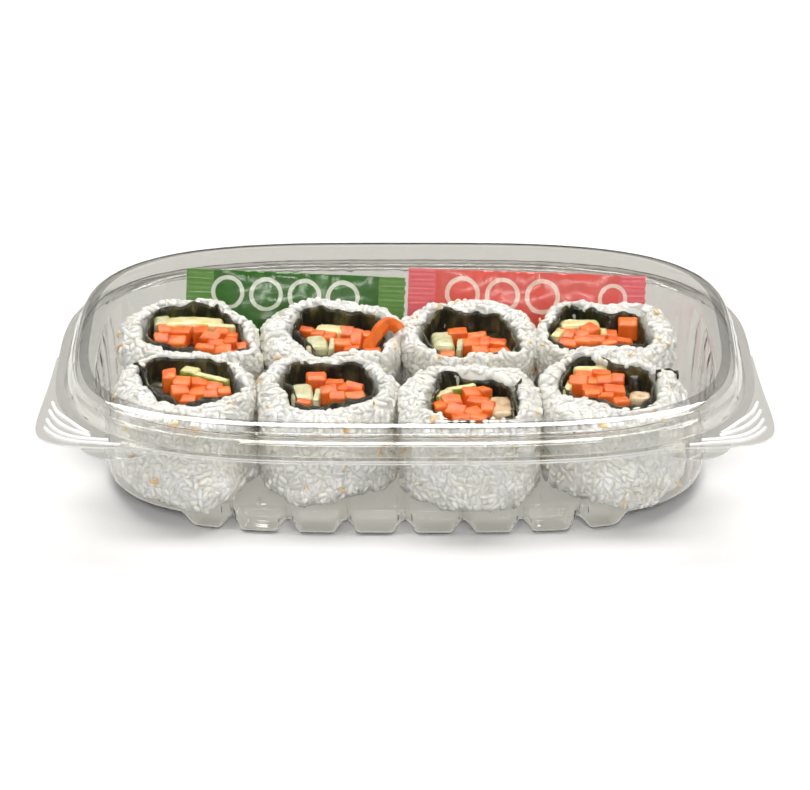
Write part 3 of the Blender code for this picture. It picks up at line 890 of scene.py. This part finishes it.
# For each bundle: across and along from the roll's middle, then width, depth and turn in degrees.
CARROTS = {
    "carrot_back_1": [(-10.5, 2.2, 4.0, 3.6, 8), (-5.4, 0.7, 5.6, 3.8, -6), (-11.1, -3.8, 4.2, 3.4, 4),
                      (-6.4, -5.2, 5.2, 3.6, -5), (0.7, 0.7, 4.4, 3.8, 2), (7.1, -0.8, 4.2, 2.6, -6),
                      (10.4, -1.8, 3.4, 2.8, 5), (3.9, -3.9, 5.4, 3.4, -20), (5.9, -7.6, 5.2, 3.4, 10),
                      (10.0, -6.4, 4.0, 3.8, -8), (7.8, -11.4, 4.8, 3.0, 4), (13.6, -9.8, 3.0, 3.2, 12),
                      (2.4, -10.2, 5.6, 2.6, -8), (11.4, -12.2, 3.6, 2.6, 0)],
    "carrot_back_2": [(-9.2, 2.4, 4.2, 2.8, -14), (-5.8, 0.0, 4.0, 2.6, -18), (-2.4, -2.8, 4.0, 2.8, -22),
                      (3.2, 1.2, 4.0, 4.2, 4), (6.2, 0.2, 3.2, 3.6, -8), (1.8, -6.4, 5.2, 3.6, 2),
                      (5.8, -4.6, 3.2, 4.4, -6), (9.2, -1.2, 2.6, 3.4, 14), (9.6, -5.6, 3.0, 3.6, -10),
                      (4.6, -9.4, 4.4, 2.6, 0), (11.2, -11.8, 4.6, 3.4, 10)],
    "carrot_back_3": [(-4.3, 2.0, 5.6, 4.4, 4), (1.5, -0.6, 5.4, 3.0, -4), (7.6, -4.0, 5.4, 3.2, -8),
                      (-0.4, -5.6, 5.0, 3.8, 3), (3.8, -4.2, 3.2, 4.4, -5), (8.4, -9.4, 6.0, 3.0, 20),
                      (-7.4, -12.6, 4.2, 2.4, -6), (2.6, -10.2, 4.8, 3.2, 5)],
    "carrot_back_4": [(-9.4, -1.6, 5.0, 4.4, -6), (-2.4, 1.4, 4.6, 4.6, 44), (-9.6, -7.8, 5.4, 3.0, -16),
                      (-4.8, -6.6, 5.8, 3.2, 8), (-0.6, -6.0, 4.8, 3.6, -6), (3.9, -1.2, 3.6, 3.4, 4),
                      (3.0, -8.0, 4.6, 2.8, 6), (-5.2, -3.0, 4.0, 3.2, 20)],
    "carrot_end_back_4": [(9.2, 4.2, 5.6, 4.4, -3), (6.6, -5.0, 6.8, 3.2, 4)],
    "carrot_front_1": [(-1.6, 3.4, 5.2, 4.2, -4), (3.8, 3.0, 4.8, 4.2, 8), (8.2, -0.4, 4.6, 4.0, -10),
                       (11.2, -3.4, 3.8, 2.8, 6), (7.2, -4.4, 4.4, 3.0, 12), (3.2, -2.8, 4.8, 4.2, -6),
                       (-1.8, -3.0, 5.0, 3.8, 16), (0.8, -8.0, 4.4, 3.0, -12)],
    "carrot_end_front_1": [(-5.6, 6.2, 3.8, 4.4, 4)],
    "carrot_front_2": [(-3.7, 6.2, 5.4, 4.2, 4), (1.8, 3.6, 5.2, 3.0, -4), (7.6, 0.4, 5.2, 3.2, -8),
                       (0.0, -0.8, 5.0, 3.8, 3), (4.2, 0.8, 3.2, 4.4, -5), (8.0, -4.2, 6.0, 3.0, 20),
                       (-7.2, -7.8, 4.2, 2.4, -6), (2.6, -5.4, 4.6, 3.2, 5)],
    "carrot_front_3": [(-9.8, -4.6, 3.2, 4.0, 20), (-6.0, -0.8, 5.6, 3.8, 14), (0.0, 3.6, 5.0, 3.8, 18),
                       (3.4, 5.6, 3.6, 3.6, 44), (1.6, -2.0, 5.6, 4.0, -12), (-5.0, -6.4, 5.6, 4.4, -18),
                       (0.0, -7.0, 4.8, 4.2, 24), (4.4, -5.6, 3.8, 4.2, -6), (-3.4, -11.4, 5.2, 3.6, 10),
                       (1.6, -11.2, 5.2, 3.2, -14)],
    "carrot_front_4": [(-7.7, 6.6, 5.2, 3.2, 2), (-2.4, 6.4, 5.2, 3.2, 3), (-9.6, 1.6, 5.4, 4.2, -8),
                       (-5.4, 2.8, 3.2, 3.8, 0), (-1.8, 2.8, 4.6, 3.8, 2), (2.2, 2.6, 3.6, 3.8, -4),
                       (-5.4, -2.8, 6.0, 3.4, -4), (1.0, -2.4, 6.0, 4.0, 2), (-5.6, -5.8, 4.6, 2.6, 8),
                       (2.6, -8.6, 4.4, 3.4, 12), (-1.8, -6.6, 4.4, 3.0, -6)]}


def carrot_material():
    made, nodes, links, shader = new_material("raw_carrot")
    patch, ramp = mottle(nodes, links, 300, [(0.28, (0.56, 0.078, 0.004)), (0.5, (0.74, 0.132, 0.007)),
                                             (0.72, (0.82, 0.20, 0.020))], detail=3, stretch=(1, 1, 0.25))
    links.new(ramp.outputs["Color"], shader.inputs["Base Color"])
    shader.inputs["Roughness"].default_value = 0.4
    shader.inputs["Specular IOR Level"].default_value = 0.25
    moist(shader, 0.25, (1.0, 0.45, 0.15), 0.0012, 0.08, 0.12)
    food_relief(nodes, links, shader, patch.outputs["Fac"], 0.45, 0.0006)
    return made


raw_carrot = carrot_material()
deselect()
bpy.ops.mesh.primitive_cube_add(size=1.0, location=(0, 0, -0.5))
stick = bpy.context.object
bpy.ops.object.transform_apply()
stick.scale = (STICK_WIDTH * MM, STICK_WIDTH * MM, STICK_LENGTH)
bpy.ops.object.transform_apply()
apply_modifier(stick, "BEVEL", width=0.5 * MM, segments=2)
CARROT_LUMPS = lumps("carrot_lumps", 3.5 * MM)
stick.data.materials.append(raw_carrot)

for number, (node, bundle) in enumerate(CARROTS.items()):
    middle = roll_middle(node.replace("carrot_end_", "").replace("carrot_", ""))
    draw = random.Random(40 + number)
    sticks = []
    for x, y, width, depth, turn in bundle:
        one = twin(stick)
        slope_x, slope_y = draw.uniform(-0.12, 0.12), draw.uniform(0.0, 0.35)
        for vert in one.data.vertices:
            vert.co.x *= 1.08 * width / STICK_WIDTH
            vert.co.y *= 1.12 * depth / STICK_WIDTH
            if vert.co.z > -STICK_LENGTH / 2:
                vert.co.z += slope_x * vert.co.x + slope_y * vert.co.y
        top = STICK_TOP + 0.10 * y + draw.uniform(-0.5, 0.6)
        one.location = Vector((middle.x + x, middle.y + y, top)) * MM
        one.rotation_euler = (draw.uniform(-0.03, 0.06), draw.uniform(-0.05, 0.05), math.radians(turn))
        sticks.append(one)
    if node == "carrot_back_2":
        curl = rod([(middle.x + x, middle.y + y, z) for x, y, z in CURL], CURL_RADIUS, 1, 12)
        curl.data.materials.append(raw_carrot)
        sticks.append(curl)
    bundle = join(sticks, node + "_sticks")
    bpy.ops.object.transform_apply()
    apply_modifier(bundle, "DISPLACE", strength=0.9 * MM, mid_level=0.5, texture=CARROT_LUMPS,
                   texture_coords="LOCAL")
    bpy.ops.object.shade_smooth_by_angle(angle=math.radians(50))
    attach(bundle, "box")
    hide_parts(node)
bpy.data.objects.remove(stick, do_unlink=True)


# ---------------------------------------------------------------- avocado, cucumber and radish
# Long slices stand beside the carrot. Avocado is buttery with a greener edge, cucumber is watery with seeds
# and a dark skin on one side, and radish is a soft tan pickle.

# For each node: across and along from the roll's middle, half width, half depth, turn, top and bend.
SLICES = {
    "avocado_back_1": [(-1.6, 6.8, 9.2, 3.3, -2, 32.9, 0.02), (7.0, 2.4, 4.4, 1.1, -4, 32.9, 0)],
    "avocado_back_2": [(-1.8, 3.4, 4.8, 2.9, -14, 32.4, 0.02)],
    "avocado_back_4": [(-5.6, 5.6, 6.2, 3.0, 4, 32.4, 0.03), (-12.2, -1.6, 1.6, 3.6, -20, 32.4, 0.0),
                       (1.6, -0.8, 1.0, 2.4, 0, 32.4, 0.0)],
    "avocado_front_1": [(0.6, 9.4, 2.8, 2.4, -20, 33.2, 0), (6.6, 5.2, 6.6, 1.3, -28, 32.8, 0)],
    "avocado_front_3": [(-8.6, 2.2, 3.4, 1.2, 46, 32.7, 0.0), (-3.4, 6.0, 4.6, 1.2, 22, 32.9, 0.01)],
    "avocado_front_4": [(-5.4, 10.8, 5.6, 2.6, 0, 32.4, 0.03), (-12.6, -0.6, 1.0, 3.8, -14, 32.2, 0.0)],
    "cucumber_back_1": [(-11.6, 7.4, 2.7, 3.6, 10, 32.6, 0)],
    "cucumber_back_2": [(-6.0, -5.6, 3.4, 5.0, 4, 31.9, 0), (-1.4, -8.4, 0.9, 4.0, -4, 32.2, 0)],
    "cucumber_back_3": [(-8.8, -3.2, 3.3, 5.6, 4, 31.9, 0), (-3.6, -8.0, 0.9, 4.4, -4, 32.2, 0)],
    "cucumber_front_2": [(-7.8, -1.4, 3.3, 5.4, 4, 31.9, 0), (-3.3, -4.6, 0.9, 4.2, -4, 32.2, 0)],
    "radish_front_3": [(8.6, -4.6, 3.2, 6.4, 4, 32.0, 0)],
    "radish_front_4": [(8.2, -6.8, 3.2, 3.2, 0, 32.0, 0)]}
SLICE_LENGTH = 26
SKIN_SIDES = {"avocado_front_1": (-0.5, -0.85, 0.0), "avocado_front_3": (-0.4, -0.9, 0.0)}
SLICE_COLOURS = {"avocado": ((0.60, 0.54, 0.17), (0.74, 0.65, 0.30), (0.84, 0.76, 0.48)),
                 "cucumber": ((0.40, 0.40, 0.20), (0.60, 0.58, 0.34), (0.74, 0.70, 0.48)),
                 "radish": ((0.42, 0.27, 0.13), (0.60, 0.42, 0.24), (0.70, 0.55, 0.36))}
SKIN_COLOURS = {"avocado": (0.22, 0.36, 0.035), "cucumber": (0.10, 0.20, 0.03), "radish": (0.55, 0.35, 0.18)}


def slice_material(name, dark, mid, light, wet):
    made, nodes, links, shader = new_material(name)
    patch, ramp = mottle(nodes, links, 380, [(0.3, dark), (0.5, mid), (0.7, light)], detail=3, stretch=(1, 1, 0.4))
    links.new(ramp.outputs["Color"], shader.inputs["Base Color"])
    shader.inputs["Roughness"].default_value = 0.34
    moist(shader, 0.3, (0.8, 1.0, 0.4), 0.0015, wet, 0.1)
    food_relief(nodes, links, shader, patch.outputs["Fac"], 0.4, 0.0005)
    return made


SLICE_LUMPS = lumps("slice_lumps", 4 * MM)
finishes = {}
for kind, (dark, mid, light) in SLICE_COLOURS.items():
    green = SKIN_COLOURS[kind]
    finishes[kind] = (slice_material(kind + "_flesh", dark, mid, light, 0.4),
                      slice_material(kind + "_skin", tuple(0.6 * c for c in green), green,
                                     tuple(1.5 * c for c in green), 0.3))
for node, cuts in SLICES.items():
    kind = node.split("_")[0]
    middle = roll_middle(node[len(kind) + 1:])
    slabs = []
    for x, y, half_x, half_y, turn, top, bend in cuts:
        deselect()
        bpy.ops.mesh.primitive_cube_add(size=2.0)
        slab = bpy.context.object
        for vert in slab.data.vertices:
            height = top if vert.co.z > 0 else top - SLICE_LENGTH
            vert.co = Vector((vert.co.x * half_x, vert.co.y * half_y, height)) * MM
        apply_modifier(slab, "BEVEL", width=min(half_x, half_y) * 0.45 * MM, segments=3)
        apply_modifier(slab, "SUBSURF", levels=2, render_levels=2, subdivision_type="SIMPLE")
        spin = math.radians(turn)
        for vert in slab.data.vertices:
            if vert.normal.y > 0.5 and abs(vert.normal.z) < 0.6:
                vert.co.z -= 0.3 * MM
            across, along = vert.co.x / MM, vert.co.y / MM - bend * (vert.co.x / MM) ** 2
            vert.co.x = (middle.x + x + across * math.cos(spin) - along * math.sin(spin)) * MM
            vert.co.y = (middle.y + y + across * math.sin(spin) + along * math.cos(spin)) * MM
        slabs.append(slab)
    piece = join(slabs, node + "_slice")
    apply_modifier(piece, "DISPLACE", strength=0.7 * MM, mid_level=0.55, texture=SLICE_LUMPS,
                   texture_coords="LOCAL")
    bpy.ops.object.shade_smooth_by_angle(angle=math.radians(60))
    piece.data.materials.append(finishes[kind][0])
    piece.data.materials.append(finishes[kind][1])
    skin_side = Vector(SKIN_SIDES.get(node, (0.0, 1.0, 0.0)))
    for face in piece.data.polygons:
        if face.normal.dot(skin_side) > 0.4 and face.normal.z < 0.7:
            face.material_index = 1
    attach(piece, "box")
    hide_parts(node)


# ---------------------------------------------------------------- the sesame seeds
# Toasted sesame was sprinkled on the rice before it was rolled. Most seeds are tan, a few are black, and
# they lie flat in the rice on the tops and down the sides.

SEED = Vector((3.3, 1.9, 0.9)) * MM


def seed_material(name, dark, light, rough):
    made, nodes, links, shader = new_material(name)
    patch, ramp = mottle(nodes, links, 500, [(0.35, dark), (0.65, light)])
    links.new(ramp.outputs["Color"], shader.inputs["Base Color"])
    shader.inputs["Roughness"].default_value = rough
    food_relief(nodes, links, shader, patch.outputs["Fac"], 0.3, 0.0003)
    return made


deselect()
bpy.ops.mesh.primitive_uv_sphere_add(segments=10, ring_count=6, radius=0.5, rotation=(0, math.pi / 2, 0))
seed = bpy.context.object
bpy.ops.object.transform_apply()
for vert in seed.data.vertices:
    narrow = 1 - 0.45 * smooth(vert.co.x + 0.5)
    vert.co = Vector((vert.co.x * SEED.x, vert.co.y * SEED.y * narrow, vert.co.z * SEED.z * narrow))
bpy.ops.object.shade_smooth()


def faces_in_order(mesh):
    """Each face's centre and normal, sorted by its corners, as Blender doesn't number faces alike each run."""
    corners = [tuple(vert.co) for vert in mesh.vertices]
    faces = sorted(mesh.polygons, key=lambda face: sorted(corners[k] for k in face.vertices))
    return [(face.center.copy(), face.normal.copy()) for face in faces]


rice_faces = {place: faces_in_order(rice_pieces[place].data) for place in PLACES}


def sprinkle(name, count, pick, made_of, start):
    """Lay seeds on the rice faces that pick(centre, normal) allows, joined as one piece."""
    draw = random.Random(start)
    laid = []
    for place in PLACES:
        faces = rice_faces[place]
        for _ in range(count):
            for _ in range(200):
                centre, normal = faces[draw.randrange(len(faces))]
                if pick(centre / MM, normal, place):
                    break
            else:
                continue
            one = twin(seed)
            one.location = centre + normal * 0.15 * MM
            one.rotation_mode = "QUATERNION"
            spin = Quaternion((0, 0, 1), draw.uniform(0, 2 * math.pi))
            one.rotation_quaternion = normal.to_track_quat("Z", "Y") @ spin
            laid.append(one)
    seeds = join(laid, name)
    bpy.ops.object.transform_apply()
    seeds.data.materials.append(made_of)
    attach(seeds, "box")


def outside(at, normal, place):
    off = at.xy - roll_middle(place).xy
    clear = off.length > 17.2 or off.length > 15.6 and off.y < 0
    return clear and (normal.z > 0.5 and at.z > 33.5 or normal.z > -0.2 and normal.y < 0.4 and at.z > 6)


sprinkle("tan_sesame", 22, outside, seed_material("tan_sesame_coat", (0.62, 0.40, 0.17), (0.80, 0.62, 0.36), 0.5), 5)


def at_front_right(at, normal, place):
    return outside(at, normal, place) and abs(at.x - 46) < 9 and at.y < -16


sprinkle("black_sesame", 2, at_front_right,
         seed_material("black_sesame_coat", (0.010, 0.009, 0.008), (0.03, 0.027, 0.022), 0.35), 9)
bpy.data.objects.remove(seed, do_unlink=True)


# ---------------------------------------------------------------- the sachets
# Two flat film sachets lean on the back wall behind the rolls, a green and a pink one. Film is sealed and
# crimped at both ends, with a saw-cut edge at the right, and the print is plain fields and rings.

SEAL = 8.5
BELLY = 2.5
EDGE = 0.25
LEAN = math.radians(12.6)
FOOT_Y = 41.5
FOOT_Z = 4.75
ACROSS, UPWARD = 160, 56


def film_material(name, body, seal, mark, width, height, marks, oval):
    """Printed film on the sachet's own UV map: body and seal fields, a row of rings, and one pale oval."""
    made, nodes, links, shader = new_material(name)

    def math_node(kind, a, b=None, c=None):
        node = nodes.new("ShaderNodeMath")
        node.operation = kind
        for socket, value in zip(node.inputs, (a, b, c)):
            if isinstance(value, (int, float)):
                socket.default_value = value
            elif value is not None:
                links.new(value, socket)
        return node.outputs[0]

    chart = nodes.new("ShaderNodeUVMap")
    chart.uv_map = "UVMap"
    apart = nodes.new("ShaderNodeSeparateXYZ")
    links.new(chart.outputs["UV"], apart.inputs["Vector"])
    u = math_node("MULTIPLY", apart.outputs["X"], width)
    v = math_node("MULTIPLY", apart.outputs["Y"], height)

    def ring(centre_x, centre_y, reach_x, reach_y):
        """0 at the centre, 1 on the outline."""
        x = math_node("DIVIDE", math_node("SUBTRACT", u, centre_x), reach_x)
        y = math_node("DIVIDE", math_node("SUBTRACT", v, centre_y), reach_y)
        return math_node("SQRT", math_node("ADD", math_node("MULTIPLY", x, x), math_node("MULTIPLY", y, y)))

    def mix(under, over, share):
        node = nodes.new("ShaderNodeMix")
        node.data_type = "RGBA"
        for socket, value in ((node.inputs["A"], under), (node.inputs["B"], over)):
            if isinstance(value, tuple):
                socket.default_value = (*value, 1)
            else:
                links.new(value, socket)
        links.new(share, node.inputs["Factor"])
        return node.outputs["Result"]

    at_end = math_node("MAXIMUM", math_node("LESS_THAN", u, SEAL), math_node("GREATER_THAN", u, width - SEAL))
    colour = mix(body, seal, at_end)
    if oval:
        colour = mix(colour, oval[4], math_node("LESS_THAN", ring(*oval[:4]), 1.0))
    drawn = None
    for centre_x, centre_y, reach, stroke in marks:
        off = math_node("ABSOLUTE", math_node("SUBTRACT", ring(centre_x, centre_y, reach, reach), 1.0))
        shape = math_node("LESS_THAN", off, stroke)
        drawn = shape if drawn is None else math_node("MAXIMUM", drawn, shape)
    colour = mix(colour, mark, drawn)
    links.new(colour, shader.inputs["Base Color"])
    grain, spread = wear(nodes, links, 140, 3, 0.22, 0.42)
    links.new(spread.outputs["Result"], shader.inputs["Roughness"])
    shader.inputs["Coat Weight"].default_value = 0.35
    shader.inputs["Coat Roughness"].default_value = 0.15
    food_relief(nodes, links, shader, grain.outputs["Fac"], 0.35, 0.0012)
    return made


def make_sachet(name, node, left, width, height, tilt, made_of):
    roll = math.radians(tilt)
    skins = []
    for side in (-1, 1):
        deselect()
        bpy.ops.mesh.primitive_grid_add(x_subdivisions=ACROSS, y_subdivisions=UPWARD, size=1.0)
        skin = bpy.context.object
        for vert in skin.data.vertices:
            along, up = (vert.co.x + 0.5) * width, (vert.co.y + 0.5) * height
            swell_x = max(0.0, min(along, width - along) - SEAL) / (width / 2 - SEAL)
            swell = math.sin(math.pi * up / height) ** 0.8 * math.sin(math.pi / 2 * min(1.0, 2.6 * swell_x))
            wrinkle = noise.noise(Vector((along / 9, up / 4 + 11 * side, tilt))) * (0.3 + 0.6 * swell)
            wrinkle += 0.5 * noise.noise(Vector((along / 2.6, up / 14, 5 * tilt))) * swell_x * (1 - swell) * 2
            in_seal = smooth((SEAL - min(along, width - along)) / 1.0)
            crimp = 0.16 * math.sin(up * 2 * math.pi / 1.5) * in_seal
            thick = EDGE + BELLY * swell
            push = side * thick + crimp + wrinkle * min(1.0, 4 * swell + 0.3)
            saw = 0.0
            if along > width - 1e-3:
                saw = -0.5 * abs((up / 1.4) % 2 - 1)
            x = left + (along + saw) * math.cos(roll) + up * math.sin(roll)
            rise = up * math.cos(roll) + (width - along) * math.sin(roll)
            y = FOOT_Y + rise * math.sin(LEAN) + push * math.cos(LEAN)
            z = FOOT_Z + rise * math.cos(LEAN) - push * math.sin(LEAN)
            vert.co = Vector((x, y, z)) * MM
        skins.append(skin)
    front = join(skins, name)
    bpy.ops.object.mode_set(mode="EDIT")
    bpy.ops.mesh.select_mode(type="EDGE")
    bpy.ops.mesh.select_all(action="DESELECT")
    bpy.ops.mesh.select_non_manifold(extend=False, use_boundary=True)
    bpy.ops.mesh.bridge_edge_loops()
    bpy.ops.mesh.select_all(action="SELECT")
    bpy.ops.mesh.normals_make_consistent(inside=False)
    bpy.ops.object.mode_set(mode="OBJECT")
    bpy.ops.object.shade_smooth_by_angle(angle=math.radians(60))
    front.data.materials.append(made_of)
    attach(front, "box")
    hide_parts(node)


green_film = film_material("green_film", (0.030, 0.135, 0.012), (0.115, 0.28, 0.050), (0.70, 0.74, 0.64), 68.6, 31.3,
                           [(13.0, 24.5, 4.6, 0.14), (25.0, 24.5, 4.6, 0.14), (37.0, 24.5, 4.6, 0.14),
                            (49.0, 24.5, 4.6, 0.14)], (45.0, 6.5, 16.0, 9.0, (0.62, 0.50, 0.44)))
pink_film = film_material("pink_film", (0.74, 0.105, 0.085), (0.80, 0.14, 0.17), (0.88, 0.66, 0.56), 74.4, 31.8,
                          [(17.0, 24.5, 4.8, 0.14), (29.5, 24.5, 4.8, 0.14), (42.0, 24.5, 4.8, 0.14),
                           (64.0, 24.5, 4.0, 0.15)], None)
make_sachet("green_sachet", "sachet_green", -69.5, 68.6, 31.3, 2.6, green_film)
make_sachet("pink_sachet", "sachet_pink", 0.1, 74.4, 31.8, 2.0, pink_film)


# ---------------------------------------------------------------- floor, light and camera
# A white sweep to stand on, soft panels with grey between them, and a long lens a little above the table.

deselect()
bpy.ops.mesh.primitive_plane_add(size=24.0, location=(0, 0, -0.0002))
floor = bpy.context.object
floor.name = "floor"
paper, nodes, links, shader = new_material("white_sweep")
shader.inputs["Base Color"].default_value = (0.65, 0.65, 0.655, 1)
shader.inputs["Roughness"].default_value = 0.9
# Rays that reach the floor through the clear plastic find it partly glowing with a beige-grey emission: painted
# light in place of the lit floor seen through the box.
path = nodes.new("ShaderNodeLightPath")
glow = nodes.new("ShaderNodeEmission")
glow.inputs["Color"].default_value = (0.64, 0.62, 0.56, 1)
share = nodes.new("ShaderNodeMath")
share.operation = "MULTIPLY"
share.inputs[1].default_value = 0.65
links.new(path.outputs["Is Transmission Ray"], share.inputs[0])
blend(nodes, links, share.outputs["Value"], shader.outputs["BSDF"], glow.outputs["Emission"])
floor.data.materials.append(paper)

AIM = Vector((0, 0, 17.7 * MM))
ELEVATION = math.radians(25)
DISTANCE = 1.184
lens = bpy.data.cameras.new("camera")
lens.lens = 173.5
lens.sensor_width = 36
camera = bpy.data.objects.new("camera", lens)
bpy.context.scene.collection.objects.link(camera)
camera.location = AIM + Vector((0, -math.cos(ELEVATION), math.sin(ELEVATION))) * DISTANCE
camera.rotation_euler = (math.pi / 2 - ELEVATION, 0, 0)
bpy.context.scene.camera = camera


def panel(name, place, aim, width, height, power):
    lamp = bpy.data.lights.new(name, "AREA")
    lamp.shape = "RECTANGLE"
    lamp.size, lamp.size_y = width, height
    lamp.energy = power
    lamp.color = (1.0, 0.985, 0.96)
    holder = bpy.data.objects.new(name, lamp)
    bpy.context.scene.collection.objects.link(holder)
    holder.location = place
    holder.rotation_euler = (Vector(aim) - Vector(place)).to_track_quat("-Z", "Y").to_euler()


panel("overhead", (0.0, 0.5, 1.0), (0, 0, 0.02), 1.3, 0.34, 21)
panel("left", (-1.0, -0.3, 0.7), (0, 0, 0.02), 0.4, 0.7, 5)
panel("right", (1.0, -0.3, 0.6), (0, 0, 0.02), 0.25, 0.7, 4)
panel("front", (0.1, -1.15, 0.62), (0, 0, 0.02), 1.0, 0.3, 11)

world = bpy.data.worlds.new("studio")
world.use_nodes = True
nodes, links = world.node_tree.nodes, world.node_tree.links
place = nodes.new("ShaderNodeTexCoord")
apart = nodes.new("ShaderNodeSeparateXYZ")
links.new(place.outputs["Generated"], apart.inputs["Vector"])
spread = nodes.new("ShaderNodeMapRange")
spread.inputs["From Min"].default_value = 0.75
spread.inputs["From Max"].default_value = -0.2
spread.inputs["To Min"].default_value = 0.06
spread.inputs["To Max"].default_value = 0.50
links.new(apart.outputs["Y"], spread.inputs["Value"])
links.new(spread.outputs["Result"], nodes["Background"].inputs["Strength"])
bpy.context.scene.world = world
bpy.context.scene.view_settings.view_transform = "Standard"
